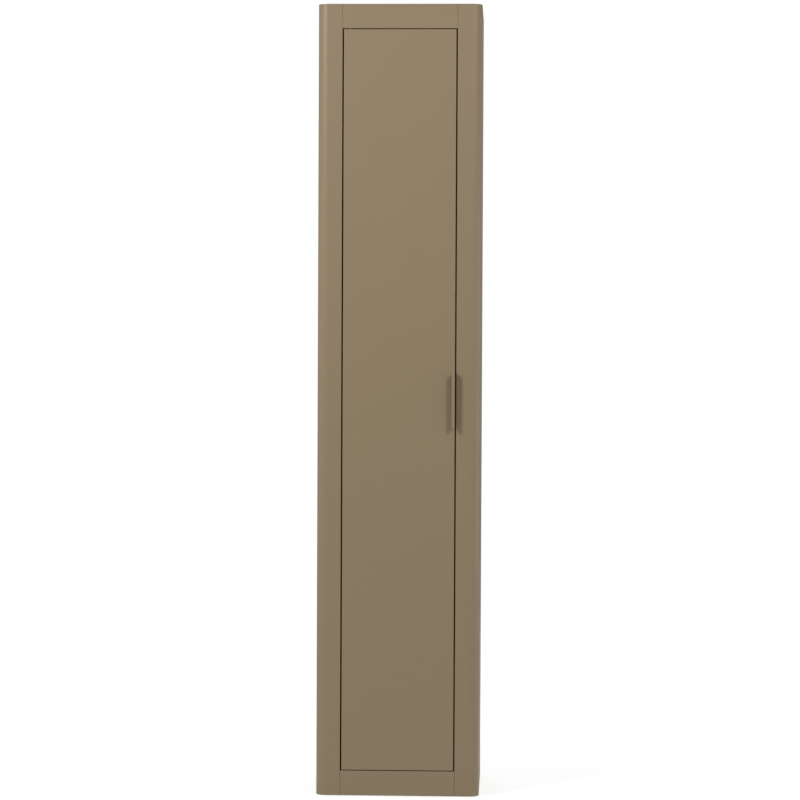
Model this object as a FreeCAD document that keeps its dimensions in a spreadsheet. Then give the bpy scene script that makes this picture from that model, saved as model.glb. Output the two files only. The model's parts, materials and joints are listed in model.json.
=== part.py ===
import FreeCAD, Part
import os
import Sketcher

# A tall broom cupboard: a face frame of four members round one inset door, and a carcass of boards behind.
# Millimetres. X runs to the right seen from the front, Y from the front to the back, Z up.
# The origin is the middle of the whole footprint, edge pull included, on the floor.

Vector = FreeCAD.Vector
Rotation = FreeCAD.Rotation

doc = FreeCAD.newDocument("BroomCupboard")

# ---------------------------------------------------------------- sizes

SIZES = {
    # the whole cupboard, glides included
    "cab_width": 442.0,
    "cab_depth": 400.0,
    "cab_height": 2140.0,
    # face frame: two posts and a top rail of one width, and a bottom rail
    "member_width": 66.0,
    "bottom_rail_height": 67.0,
    "member_depth": 40.0,
    "corner_radius": 28.0,
    "edge_ease": 1.0,
    # carcass boards
    "panel_thick": 18.0,
    "back_thick": 6.0,
    "back_lip": 8.0,
    "rail_height": 60.0,
    # door
    "door_thick": 20.0,
    "side_gap": 3.5,
    "end_gap": 2.2,
    # pivot hinges, let into the ends of the door and into the rails
    "pivot_inset": 16.0,
    "pivot_setback": 7.5,
    "pin_radius": 2.5,
    "pin_play": 0.05,
    "pin_over": 1.0,
    "pin_relief": 0.5,
    "leaf_length": 60.0,
    "leaf_width": 10.0,
    "leaf_thick": 2.5,
    "leaf_play": 0.2,
    "leaf_screw_first": 19.0,
    "leaf_screw_pitch": 20.0,
    "washer_radius": 5.0,
    "washer_play": 0.2,
    # edge pull
    "pull_length": 150.0,
    "pull_height": 1075.0,
    "pull_reach": 20.0,
    "pull_lip": 8.0,
    "pull_wall": 3.0,
    "pull_tail": 16.0,
    "pull_screw_pitch": 100.0,
    # door stop with its pads, magnetic catches and their strike plates
    "strip_width": 12.0,
    "strip_depth": 16.0,
    "pad_radius": 4.5,
    "pad_thick": 1.5,
    "pad_margin": 120.0,
    "catch_margin": 260.0,
    "catch_width": 14.0,
    "catch_depth": 14.0,
    "catch_height": 46.0,
    "magnet_width": 8.0,
    "magnet_depth": 6.0,
    "magnet_height": 28.0,
    "magnet_proud": 1.0,
    "catch_air": 0.2,
    "strike_thick": 1.5,
    "strike_height": 44.0,
    "catch_screw_pitch": 36.0,
    # shelves
    "fixed_shelf_drop": 460.0,
    "shelf_play": 1.0,
    "shelf_setback": 12.0,
    "shelf_back_gap": 2.0,
    "row_inset": 60.0,
    "row_first": 128.0,
    "row_pitch": 32.0,
    "support_radius": 2.5,
    "support_hole_play": 0.1,
    "support_depth": 8.0,
    "support_reach": 9.0,
    "support_width": 7.0,
    # peg rail and pegs
    "peg_rail_drop": 90.0,
    "peg_pitch": 110.0,
    "stud_radius": 3.0,
    "stud_length": 13.0,
    "flange_radius": 13.0,
    "flange_thick": 3.0,
    "stem_radius": 5.0,
    "stem_length": 45.0,
    "knob_radius": 8.0,
    "stud_play": 0.1,
    # wall fixing
    "wall_hole_radius": 3.25,
    "wall_hole_pitch": 300.0,
    # floor glides
    "glide_thick": 2.0,
    "glide_radius": 8.0,
    "glide_inset": 30.0,
    "nail_radius": 1.2,
    "nail_length": 14.0,
    "nail_play": 0.05,
    # dowels
    "dowel_radius": 4.0,
    "dowel_length": 40.0,
    "dowel_play": 0.1,
    "dowel_end_play": 1.0,
    "dowel_margin": 14.0,
    "post_dowel_margin": 120.0,
    # cam fittings
    "cam_radius": 7.5,
    "cam_depth": 12.5,
    "cam_distance": 34.0,
    "cam_inset": 45.0,
    "cam_play": 0.1,
    "cam_slot_width": 1.6,
    "cam_slot_depth": 2.5,
    "bolt_radius": 3.0,
    "bolt_grip": 11.0,
    # wood screws
    "screw_head_radius": 3.0,
    "screw_shank_radius": 1.4,
    "screw_play": 0.05,
    "short_screw": 16.0,
    "long_screw": 28.0,
    "catch_screw": 22.0,
    "strike_screw": 14.0,
    "back_screw_margin": 90.0,
    "back_screw_spread": 200.0,
}

# Values worked out from the sizes, each under its own alias.
PLACES = {
    "half_width": "Sizes.cab_width / 2",
    "front": "(Sizes.pull_reach - Sizes.cab_depth) / 2",
    "rear": "front + Sizes.cab_depth",
    "frame_back": "front + Sizes.member_depth",
    "door_back": "front + Sizes.door_thick",
    "back_inner": "rear - Sizes.back_thick",
    "opening_half": "half_width - Sizes.member_width",
    "door_half": "opening_half - Sizes.side_gap",
    "inner_half": "half_width - Sizes.panel_thick",
    "rebate_half": "half_width - Sizes.back_lip",
    "board_foot": "Sizes.glide_thick",
    "board_height": "Sizes.cab_height - Sizes.glide_thick",
    "sill": "Sizes.glide_thick + Sizes.bottom_rail_height",
    "lintel": "Sizes.cab_height - Sizes.member_width",
    "door_bottom": "sill + Sizes.end_gap",
    "door_top": "lintel - Sizes.end_gap",
    "pivot_x": "-door_half + Sizes.pivot_inset",
    "pivot_y": "front + Sizes.pivot_setback",
    "strip_front": "door_back + Sizes.pad_thick",
    "strip_face": "opening_half - Sizes.strip_width",
    "catch_x": "strip_face - Sizes.catch_width / 2",
    "catch_face": "door_back + Sizes.strike_thick + Sizes.catch_air",
    "catch_front": "catch_face + Sizes.magnet_proud",
    "shelf_top": "Sizes.cab_height - Sizes.fixed_shelf_drop",
    "shelf_under": "shelf_top - Sizes.panel_thick",
    "row_front": "frame_back + Sizes.row_inset",
    "row_back": "back_inner - Sizes.row_inset",
    "rail_front": "back_inner - Sizes.panel_thick",
    "peg_rail_foot": "shelf_under - Sizes.peg_rail_drop",
    "hanging_rail_foot": "Sizes.cab_height - Sizes.panel_thick - Sizes.rail_height",
    "plinth_height": "sill - Sizes.panel_thick - board_foot",
    "head_height": "Sizes.screw_head_radius - Sizes.screw_shank_radius",
}


def fill_sheet(name, cells):
    """A spreadsheet with one aliased row for each value."""
    sheet = doc.addObject("Spreadsheet::Sheet", name)
    for row, (alias, content) in enumerate(cells.items(), start=1):
        sheet.set(f"A{row}", alias)
        sheet.set(f"B{row}", content)
        sheet.setAlias(f"B{row}", alias)
    doc.recompute()


fill_sheet("Sizes", {alias: str(value) for alias, value in SIZES.items()})
fill_sheet("Places", {alias: "=" + formula for alias, formula in PLACES.items()})

# ---------------------------------------------------------------- helpers

FACING = {
    "+X": Rotation(Vector(0, 1, 0), 90),
    "-X": Rotation(Vector(0, 1, 0), -90),
    "+Y": Rotation(Vector(1, 0, 0), -90),
    "-Y": Rotation(Vector(1, 0, 0), 90),
    "+Z": Rotation(),
    "-Z": Rotation(Vector(1, 0, 0), 180),
}
AXES = "XYZ"
SIDES = (("left", "-"), ("right", ""))  # each side with the sign that X has there

SUPPORT_HOLES = 7  # holes in each row of shelf supports
SHELF_HOLE = 3  # the hole that carries the loose shelf, counted from 0

nodes = {}  # the finished sub-parts, by name
bores = {}  # what is cut out of each board, by the board's name


def bind(item, **expressions):
    """Ties properties of an object to expressions."""
    for name, expression in expressions.items():
        item.setExpression(name, expression)


def place(item, point, facing="+Z"):
    """Puts an object's own origin at a point given as three expressions, its own Z facing the way named."""
    item.Placement = FreeCAD.Placement(Vector(), FACING[facing])
    for axis, expression in zip("xyz", point):
        item.setExpression(f"Placement.Base.{axis}", expression)
    return item


def moved(point, axis, distance):
    """The point shifted along X, Y or Z by an expression."""
    shifted = list(point)
    index = AXES.index(axis)
    shifted[index] = f"({point[index]}) + ({distance})"
    return tuple(shifted)


def block(name, corner, size):
    """A box from its low corner and its size along X, Y and Z."""
    box = doc.addObject("Part::Box", name)
    bind(box, Length=size[0], Width=size[1], Height=size[2])
    return place(box, corner)


def centred_block(name, face_middle, size):
    """A box from the middle of its front face and its size along X, Y and Z."""
    x, y, z = face_middle
    return block(name, (f"{x} - {size[0]} / 2", y, f"{z} - {size[2]} / 2"), size)


def rod(name, start, facing, radius, length):
    """A cylinder that starts at a point and runs the way named."""
    cylinder = doc.addObject("Part::Cylinder", name)
    bind(cylinder, Radius=radius, Height=length)
    return place(cylinder, start, facing)


def joined(name, shapes):
    """Several shapes as one solid."""
    fuse = doc.addObject("Part::MultiFuse", name)
    fuse.Shapes = shapes
    fuse.Refine = True
    return fuse


def without(name, base, tools):
    """A shape with one or more tools cut out of it."""
    cut = doc.addObject("Part::Cut", name)
    cut.Base = base
    cut.Tool = tools[0] if len(tools) == 1 else joined(name + "_tools", tools)
    return cut


def gathered(name, solids):
    """Separate solids of one kind in one sub-part."""
    compound = doc.addObject("Part::Compound", name)
    compound.Links = solids
    return compound


def add_node(name, item):
    """Names a finished sub-part."""
    item.Label = name
    nodes[name] = item


def bore(tool, *boards):
    """Notes a tool that is cut out of each of the boards named."""
    for board in boards:
        bores.setdefault(board, []).append(tool)


def add_board(name, blank):
    """Finishes a board: its blank less every bore noted for it."""
    tools = bores.get(name)
    add_node(name, without(name + "_cut", blank, tools) if tools else blank)


def edges_at(shape, marks):
    """Names of the straight edges that lie on the named limits of a shape, such as "x- y-"."""
    box = shape.BoundBox
    limits = {
        "x-": ("x", box.XMin),
        "x+": ("x", box.XMax),
        "y-": ("y", box.YMin),
        "y+": ("y", box.YMax),
        "z-": ("z", box.ZMin),
        "z+": ("z", box.ZMax),
    }
    wanted = [limits[mark] for mark in marks.split()]
    names = []
    for number, edge in enumerate(shape.Edges, start=1):
        ends = [vertex.Point for vertex in edge.Vertexes]
        if all(abs(getattr(end, axis) - limit) < 1e-6 for end in ends for axis, limit in wanted):
            names.append(f"Edge{number}")
    return names


def extrusion(name, outline, height, rounds):
    """A body padded up from an outline of (x, y) expressions, with rounds as (edge marks, radius) pairs."""
    body = doc.addObject("PartDesign::Body", name)
    sketch = body.newObject("Sketcher::SketchObject", name + "_outline")
    plane = next(item for item in body.Origin.OriginFeatures if item.Role == "XY_Plane")
    sketch.AttachmentSupport = [(plane, "")]
    sketch.MapMode = "FlatFace"
    corners = [Vector(*(sketch.evalExpression(value) for value in corner), 0) for corner in outline]
    count = len(corners)
    for index in range(count):
        sketch.addGeometry(Part.LineSegment(corners[index], corners[(index + 1) % count]), False)
    for index in range(count):
        sketch.addConstraint(Sketcher.Constraint("Coincident", index, 2, (index + 1) % count, 1))
    for index, (x, y) in enumerate(outline):
        for kind, expression in (("DistanceX", x), ("DistanceY", y)):
            value = sketch.evalExpression(expression)
            number = sketch.addConstraint(Sketcher.Constraint(kind, -1, 1, index, 1, value))
            if expression != "0":
                sketch.setExpression(f"Constraints[{number}]", expression)
    pad = body.newObject("PartDesign::Pad", name + "_pad")
    pad.Profile = sketch
    pad.setExpression("Length", height)
    doc.recompute()
    for number, (marks, radius) in enumerate(rounds, start=1):
        fillet = body.newObject("PartDesign::Fillet", f"{name}_round{number}")
        edges = [edge for mark in marks for edge in edges_at(pad.Shape, mark)]
        fillet.Base = (pad, edges)
        fillet.setExpression("Radius", radius)
        doc.recompute()
        pad = fillet
    return body


def rectangle(width, depth):
    """The outline of a board that starts at its own origin."""
    return [("0", "0"), (width, "0"), (width, depth), ("0", depth)]


def spaced(low, high, count):
    """Expressions for places spread evenly between two others, both ends included."""
    return [f"({low}) + (({high}) - ({low})) * {step} / {count - 1}" for step in range(count)]


# ---------------------------------------------------------------- fasteners


def countersunk(name, head, facing, length, play="0"):
    """A countersunk screw from the middle of its head, or the bore for one."""
    cone = doc.addObject("Part::Cone", name + "_head")
    bind(
        cone,
        Radius1=f"Sizes.screw_head_radius + {play}",
        Radius2=f"Sizes.screw_shank_radius + {play}",
        Height="Places.head_height",
    )
    shank = rod(name + "_shank", ("0", "0", "Places.head_height"), "+Z",
                f"Sizes.screw_shank_radius + {play}", f"{length} - Places.head_height + {play}")
    return place(joined(name, [cone, shank]), head, facing)


screws = {}  # the screws of each group, by the group's name


def add_screw(group, head, facing, length, *boards):
    """A countersunk screw in its own bore through the boards named."""
    row = screws.setdefault(group, [])
    name = f"{group}_{len(row) + 1}"
    row.append(countersunk(name, head, facing, length))
    bore(countersunk(name + "_bore", head, facing, length, "Sizes.screw_play"), *boards)


dowels = {}  # the dowels of each group, by the group's name


def add_dowel(group, centre, axis, *boards):
    """A dowel across the joint of two boards, with its bore in both."""
    row = dowels.setdefault(group, [])
    name = f"{group}_{len(row) + 1}"
    start = moved(centre, axis, "-Sizes.dowel_length / 2")
    row.append(rod(name, start, "+" + axis, "Sizes.dowel_radius", "Sizes.dowel_length"))
    hole_start = moved(start, axis, "-Sizes.dowel_end_play")
    bore(
        rod(name + "_bore", hole_start, "+" + axis, "Sizes.dowel_radius + Sizes.dowel_play",
            "Sizes.dowel_length + 2 * Sizes.dowel_end_play"),
        *boards,
    )


cam_discs = []
cam_bolts = []


def add_cam(board, side, y, foot, from_top):
    """A cam fitting that draws one end of a board to a side panel; foot is the board's underside."""
    name = f"cam_{len(cam_discs) + 1}"
    sign = "-" if side == "left" else ""
    towards = "+X" if side == "left" else "-X"
    panel = side + "_side_panel"
    middle = f"{foot} + Sizes.panel_thick / 2"
    reach = "Sizes.bolt_grip + Sizes.cam_distance - Sizes.cam_radius - Sizes.cam_play"
    start = (f"{sign}(Places.inner_half + Sizes.bolt_grip)", y, middle)
    cam_bolts.append(rod(name + "_bolt", start, towards, "Sizes.bolt_radius", f"{reach} - Sizes.cam_play"))
    bolt_bore_radius = "Sizes.bolt_radius + Sizes.cam_play"
    bolt_bore = rod(name + "_bolt_bore", start, towards, bolt_bore_radius, f"{reach} + Sizes.cam_play")
    bore(bolt_bore, board, panel)
    mouth = f"{foot} + Sizes.panel_thick" if from_top else foot
    inwards = "-Z" if from_top else "+Z"
    centre = (f"{sign}(Places.inner_half - Sizes.cam_distance)", y, mouth)
    disc = rod(name + "_disc", centre, inwards, "Sizes.cam_radius", "Sizes.cam_depth")
    slot_foot = f"{mouth} - Sizes.cam_slot_depth" if from_top else mouth
    slot = block(
        name + "_slot",
        (f"{centre[0]} - Sizes.cam_radius", f"{y} - Sizes.cam_slot_width / 2", slot_foot),
        ("2 * Sizes.cam_radius", "Sizes.cam_slot_width", "Sizes.cam_slot_depth"),
    )
    cam_discs.append(without(name, disc, [slot]))
    bore(
        rod(name + "_disc_bore", centre, inwards, "Sizes.cam_radius + Sizes.cam_play",
            "Sizes.cam_depth + Sizes.cam_play"),
        board,
    )


# ---------------------------------------------------------------- pivot hinges


def slot_shape(name, foot, play, thick):
    """The long rounded outline of a hinge leaf, from the pivot to its far end."""
    radius = f"Sizes.leaf_width / 2 + {play}"
    far = "Places.pivot_x + Sizes.leaf_length - Sizes.leaf_width"
    near_end = rod(name + "_near", ("Places.pivot_x", "Places.pivot_y", foot), "+Z", radius, thick)
    far_end = rod(name + "_far", (far, "Places.pivot_y", foot), "+Z", radius, thick)
    middle = block(
        name + "_middle",
        ("Places.pivot_x", f"Places.pivot_y - ({radius})", foot),
        ("Sizes.leaf_length - Sizes.leaf_width", f"2 * ({radius})", thick),
    )
    return [near_end, middle, far_end]


def add_leaf(name, foot, group, mouth, facing, board):
    """A hinge leaf let into a board, with its two screws; mouth is the height of its open face."""
    mortise = slot_shape(name + "_mortise", foot, "Sizes.leaf_play", "Sizes.leaf_thick")
    bore(joined(name + "_mortise", mortise), board)
    for step in range(2):
        x = f"Places.pivot_x + Sizes.leaf_screw_first + {step} * Sizes.leaf_screw_pitch"
        add_screw(group, (x, "Places.pivot_y", mouth), facing, "Sizes.short_screw", board, name)
    return slot_shape(name, foot, "0", "Sizes.leaf_thick")


def build_pivots():
    """Two knife hinges: a leaf with a pin in each rail, and a leaf with a hole in each end of the door."""
    pin_length = "2 * Sizes.leaf_thick + Sizes.end_gap + Sizes.pin_over"
    hole_radius = "Sizes.pin_radius + Sizes.pin_play"
    under_sill = "Places.sill - Sizes.leaf_thick"
    under_door_top = "Places.door_top - Sizes.leaf_thick"
    ends = [
        ("lower", "Places.sill", "Places.door_bottom", "+Z", "-Z", under_sill, "Places.door_bottom"),
        ("upper", "Places.lintel", "Places.door_top", "-Z", "+Z", "Places.lintel", under_door_top),
    ]
    for end, face, door_face, into_door, into_frame, frame_foot, door_foot in ends:
        rail = "bottom_rail" if end == "lower" else "top_rail"
        frame_leaf = end + "_frame_leaf"
        door_leaf = end + "_door_leaf"
        shapes = add_leaf(frame_leaf, frame_foot, "frame_leaf_screws", face, into_frame, rail)
        root = f"{face} - Sizes.leaf_thick" if end == "lower" else f"{face} + Sizes.leaf_thick"
        axis_root = ("Places.pivot_x", "Places.pivot_y", root)
        shapes.append(rod(end + "_pin", axis_root, into_door, "Sizes.pin_radius", pin_length))
        add_board(frame_leaf, joined(frame_leaf + "_blank", shapes))

        shapes = add_leaf(door_leaf, door_foot, "door_leaf_screws", door_face, into_door, "door_panel")
        bore(rod(end + "_pin_hole", axis_root, into_door, hole_radius, pin_length), door_leaf)
        add_board(door_leaf, joined(door_leaf + "_blank", shapes))
        relief = f"{pin_length} + Sizes.pin_relief"
        bore(
            rod(end + "_pin_relief", axis_root, into_door, "Sizes.pin_radius + Sizes.pin_relief", relief),
            "door_panel",
        )
        # the mortise in the door runs out at the edge, so that the leaf slides onto its pin
        bore(
            block(
                end + "_entry",
                ("-Places.door_half", "Places.pivot_y - Sizes.leaf_width / 2 - Sizes.leaf_play", door_foot),
                ("Sizes.pivot_inset", "Sizes.leaf_width + 2 * Sizes.leaf_play", "Sizes.leaf_thick"),
            ),
            "door_panel",
        )
    ring_start = ("Places.pivot_x", "Places.pivot_y", "Places.sill")
    ring = rod("washer_ring", ring_start, "+Z", "Sizes.washer_radius", "Sizes.end_gap")
    hole = rod("washer_hole", ring_start, "+Z", "Sizes.pin_radius + Sizes.washer_play", "Sizes.end_gap")
    add_node("thrust_washer", without("washer_cut", ring, [hole]))


# ---------------------------------------------------------------- door


def build_pull():
    """The edge pull: a strip let into the door's edge that stands out in front and turns back in a lip."""
    wall = "Sizes.pull_wall"
    reach = "Sizes.pull_reach"
    outline = [
        ("0", "Sizes.pull_tail"),
        (f"-{wall}", "Sizes.pull_tail"),
        (f"-{wall}", f"{wall} - {reach}"),
        ("-Sizes.pull_lip", f"{wall} - {reach}"),
        ("-Sizes.pull_lip", f"-{reach}"),
        ("0", f"-{reach}"),
    ]
    rounds = [(["x- y-", "x+ y-"], "Sizes.edge_ease")]
    pull = extrusion("pull_profile", outline, "Sizes.pull_length", rounds)
    foot = "Sizes.pull_height - Sizes.pull_length / 2"
    place(pull, ("Places.door_half", "Places.front", foot))
    bore(
        block(
            "pull_recess",
            (f"Places.door_half - {wall}", "Places.front", foot),
            (wall, "Sizes.pull_tail", "Sizes.pull_length"),
        ),
        "door_panel",
    )
    for sign in "-+":
        head = (
            "Places.door_half",
            "Places.front + Sizes.pull_tail / 2",
            f"Sizes.pull_height {sign} Sizes.pull_screw_pitch / 2",
        )
        add_screw("pull_screws", head, "-X", "Sizes.long_screw", "door_panel", "edge_pull")
    add_board("edge_pull", pull)


def build_door():
    """The door: a plain slab with its front edges eased."""
    front_edges = ["y- x-", "y- x+", "y- z-", "y- z+"]
    slab = extrusion(
        "door_slab",
        rectangle("2 * Places.door_half", "Sizes.door_thick"),
        "Places.door_top - Places.door_bottom",
        [(front_edges, "Sizes.edge_ease")],
    )
    place(slab, ("-Places.door_half", "Places.front", "Places.door_bottom"))
    add_board("door_panel", slab)


# ---------------------------------------------------------------- face frame


def build_frame():
    """Two posts with a large round on the outer front edge, and two rails between them."""
    for side, outer, inner, x in (
        ("left", "x- y-", "x+ y-", "-Places.half_width"),
        ("right", "x+ y-", "x- y-", "Places.opening_half"),
    ):
        rounds = [([outer], "Sizes.corner_radius"), ([inner], "Sizes.edge_ease")]
        outline = rectangle("Sizes.member_width", "Sizes.member_depth")
        post = extrusion(side + "_post_blank", outline, "Places.board_height", rounds)
        place(post, (x, "Places.front", "Places.board_foot"))
        add_board(side + "_post", post)
    for name, edge, foot, height in (
        ("bottom_rail", "y- z+", "Places.board_foot", "Sizes.bottom_rail_height"),
        ("top_rail", "y- z-", "Places.lintel", "Sizes.member_width"),
    ):
        outline = rectangle("2 * Places.opening_half", "Sizes.member_depth")
        rounds = [([edge, "y- x-", "y- x+"], "Sizes.edge_ease")]
        rail = extrusion(name + "_blank", outline, height, rounds)
        place(rail, ("-Places.opening_half", "Places.front", foot))
        add_board(name, rail)


def dowel_frame():
    """Two dowels in each corner of the face frame."""
    for side, sign in SIDES:
        for rail, foot, height in (
            ("bottom_rail", "Places.board_foot", "Sizes.bottom_rail_height"),
            ("top_rail", "Places.lintel", "Sizes.member_width"),
        ):
            for share in ("1 / 4", "3 / 4"):
                centre = (
                    f"{sign}Places.opening_half",
                    "Places.front + Sizes.member_depth / 2",
                    f"{foot} + {height} * {share}",
                )
                add_dowel("frame_dowels", centre, "X", rail, side + "_post")


# ---------------------------------------------------------------- carcass


def build_sides():
    """Two side panels, rebated at the back for the back panel."""
    for side, x, rebate_x in (
        ("left", "-Places.half_width", "-Places.rebate_half"),
        ("right", "Places.inner_half", "Places.inner_half"),
    ):
        name = side + "_side_panel"
        panel = block(
            name + "_blank",
            (x, "Places.frame_back", "Places.board_foot"),
            ("Sizes.panel_thick", "Places.rear - Places.frame_back", "Places.board_height"),
        )
        bore(
            block(
                name + "_rebate",
                (rebate_x, "Places.back_inner", "Places.board_foot"),
                ("Sizes.panel_thick - Sizes.back_lip", "Sizes.back_thick", "Places.board_height"),
            ),
            name,
        )
        add_board(name, panel)


def dowel_sides():
    """Five dowels between each post and its side panel."""
    low = "Places.board_foot + Sizes.post_dowel_margin"
    high = "Sizes.cab_height - Sizes.post_dowel_margin"
    for side, sign in SIDES:
        for z in spaced(low, high, 5):
            centre = (f"{sign}(Places.half_width - Sizes.panel_thick / 2)", "Places.frame_back", z)
            add_dowel("carcass_dowels", centre, "Y", side + "_post", side + "_side_panel")


def cross_board(name, y, foot, depth, height):
    """A board that runs from one side panel to the other."""
    return block(name + "_blank", ("-Places.inner_half", y, foot), ("2 * Places.inner_half", depth, height))


def build_decks():
    """Top panel, bottom panel and fixed shelf, drawn to the sides by four cam fittings each."""
    depth = "Places.back_inner - Places.frame_back"
    for name, foot, from_top in (
        ("bottom_panel", "Places.sill - Sizes.panel_thick", False),
        ("top_panel", "Sizes.cab_height - Sizes.panel_thick", True),
        ("fixed_shelf", "Places.shelf_under", False),
    ):
        for side in ("left", "right"):
            for y in ("Places.frame_back + Sizes.cam_inset", "Places.rail_front - Sizes.cam_inset"):
                add_cam(name, side, y, foot, from_top)
        if name != "fixed_shelf":
            rail = name.replace("panel", "rail")
            for x in spaced("-Places.opening_half / 2", "Places.opening_half / 2", 2):
                centre = (x, "Places.frame_back", f"{foot} + Sizes.panel_thick / 2")
                add_dowel("carcass_dowels", centre, "Y", name, rail)
        deck = cross_board(name, "Places.frame_back", foot, depth, "Sizes.panel_thick")
        add_board(name, deck)


def build_rails():
    """The hanging rail, peg rail and rear plinth, across the back on two dowels at either end."""
    rails = (
        ("hanging_rail", "Places.hanging_rail_foot", "Sizes.rail_height"),
        ("peg_rail", "Places.peg_rail_foot", "Sizes.rail_height"),
        ("plinth_rail", "Places.board_foot", "Places.plinth_height"),
    )
    for name, foot, height in rails:
        middle = "Places.rail_front + Sizes.panel_thick / 2"
        for side, sign in SIDES:
            for z in (f"{foot} + Sizes.dowel_margin", f"{foot} + {height} - Sizes.dowel_margin"):
                # the dowel goes as deep into the side panel as a cam bolt does, and sits mostly in the rail
                centre_x = f"{sign}(Places.inner_half - Sizes.dowel_length / 2 + Sizes.bolt_grip)"
                centre = (centre_x, middle, z)
                add_dowel("carcass_dowels", centre, "X", name, side + "_side_panel")
        rail = cross_board(name, "Places.rail_front", foot, "Sizes.panel_thick", height)
        add_board(name, rail)


def bore_wall_holes():
    """Two holes through the hanging rail and the back panel, for screws into a wall."""
    length = "Places.rear - Places.rail_front"
    for side, sign in SIDES:
        x = f"{sign}Sizes.wall_hole_pitch / 2"
        start = (x, "Places.rail_front", "Places.hanging_rail_foot + Sizes.rail_height / 2")
        hole = rod(side + "_wall_hole", start, "+Y", "Sizes.wall_hole_radius", length)
        bore(hole, "hanging_rail", "back_panel")


def build_back():
    """The back panel in its rebate, screwed to the sides and to the decks."""
    side_x = "Places.inner_half + (Sizes.panel_thick - Sizes.back_lip) / 2"
    low = "Places.board_foot + Sizes.back_screw_margin"
    high = "Sizes.cab_height - Sizes.back_screw_margin"
    for side, sign in SIDES:
        for z in spaced(low, high, 6):
            head = (f"{sign}({side_x})", "Places.rear", z)
            add_screw("back_screws", head, "-Y", "Sizes.short_screw", "back_panel", side + "_side_panel")
    decks = (
        ("bottom_panel", "Places.sill - Sizes.panel_thick / 2"),
        ("top_panel", "Sizes.cab_height - Sizes.panel_thick / 2"),
        ("fixed_shelf", "Places.shelf_top - Sizes.panel_thick / 2"),
    )
    for deck, z in decks:
        for x in spaced("-Sizes.back_screw_spread / 2", "Sizes.back_screw_spread / 2", 2):
            add_screw("back_screws", (x, "Places.rear", z), "-Y", "Sizes.short_screw", "back_panel", deck)
    panel = block(
        "back_panel_blank",
        ("-Places.rebate_half", "Places.back_inner", "Places.board_foot"),
        ("2 * Places.rebate_half", "Sizes.back_thick", "Places.board_height"),
    )
    add_board("back_panel", panel)


# ---------------------------------------------------------------- inside


def row_height(step):
    """Height of one hole in the shelf support rows."""
    return f"Places.shelf_top + Sizes.row_first + {step} * Sizes.row_pitch"


def build_supports():
    """Rows of support holes in both sides, and the four supports that carry the loose shelf."""
    supports = []
    for side, sign, inwards, outwards in (("left", "-", "+X", "-X"), ("right", "", "-X", "+X")):
        face = f"{sign}Places.inner_half"
        for row in ("Places.row_front", "Places.row_back"):
            for step in range(SUPPORT_HOLES):
                hole = rod(
                    "support_hole",
                    (face, row, row_height(step)),
                    outwards,
                    "Sizes.support_radius + Sizes.support_hole_play",
                    "Sizes.support_depth + Sizes.support_hole_play",
                )
                bore(hole, side + "_side_panel")
            height = row_height(SHELF_HOLE)
            root = (face, row, height)
            stub = rod("support_stub", root, outwards, "Sizes.support_radius", "Sizes.support_depth")
            foot_x = face if side == "left" else f"{face} - Sizes.support_reach"
            tongue = block(
                "support_tongue",
                (foot_x, f"{row} - Sizes.support_width / 2", f"{height} - Sizes.support_radius"),
                ("Sizes.support_reach", "Sizes.support_width", "2 * Sizes.support_radius"),
            )
            supports.append(joined("support", [stub, tongue]))
    add_node("shelf_supports", gathered("supports", supports))
    shelf = block(
        "loose_shelf_blank",
        (
            "-Places.inner_half + Sizes.shelf_play",
            "Places.frame_back + Sizes.shelf_setback",
            f"{row_height(SHELF_HOLE)} + Sizes.support_radius",
        ),
        (
            "2 * (Places.inner_half - Sizes.shelf_play)",
            "Places.back_inner - Places.frame_back - Sizes.shelf_setback - Sizes.shelf_back_gap",
            "Sizes.panel_thick",
        ),
    )
    add_node("adjustable_shelf", shelf)


def build_pegs():
    """Three turned pegs in the peg rail: a stud in the wood, a flange, a stem and a round knob."""
    for number, step in enumerate((-1, 0, 1), start=1):
        name = f"broom_peg_{number}"
        stud_start = ("0", "0", "-Sizes.stud_length")
        stud_length = "Sizes.stud_length + Sizes.flange_thick"
        stud = rod(name + "_stud", stud_start, "+Z", "Sizes.stud_radius", stud_length)
        flange = rod(name + "_flange", ("0", "0", "0"), "+Z", "Sizes.flange_radius", "Sizes.flange_thick")
        stem = rod(name + "_stem", ("0", "0", "0"), "+Z", "Sizes.stem_radius", "Sizes.stem_length")
        knob = doc.addObject("Part::Sphere", name + "_knob")
        bind(knob, Radius="Sizes.knob_radius")
        place(knob, ("0", "0", "Sizes.stem_length"))
        middle = "Places.peg_rail_foot + Sizes.rail_height / 2"
        root = (f"{step} * Sizes.peg_pitch", "Places.rail_front", middle)
        add_node(name, place(joined(name + "_turned", [stud, flange, stem, knob]), root, "-Y"))
        hole_radius = "Sizes.stud_radius + Sizes.stud_play"
        hole_depth = "Sizes.stud_length + Sizes.stud_play"
        bore(rod(name + "_hole", root, "+Y", hole_radius, hole_depth), "peg_rail")


def build_stop():
    """The strip that the door closes against, its screws and its pads."""
    low = "Places.sill + Sizes.pad_margin"
    high = "Places.lintel - Sizes.pad_margin"
    middle_x = "Places.strip_face + Sizes.strip_width / 2"
    pads = [
        rod("pad", (middle_x, "Places.door_back", z), "+Y", "Sizes.pad_radius", "Sizes.pad_thick")
        for z in spaced(low, high, 3)
    ]
    add_node("stop_pads", gathered("pads", pads))
    for z in spaced(low, high, 5):
        head = ("Places.strip_face", "Places.strip_front + Sizes.strip_depth / 2", z)
        add_screw("stop_screws", head, "+X", "Sizes.long_screw", "stop_strip", "right_post")


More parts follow.
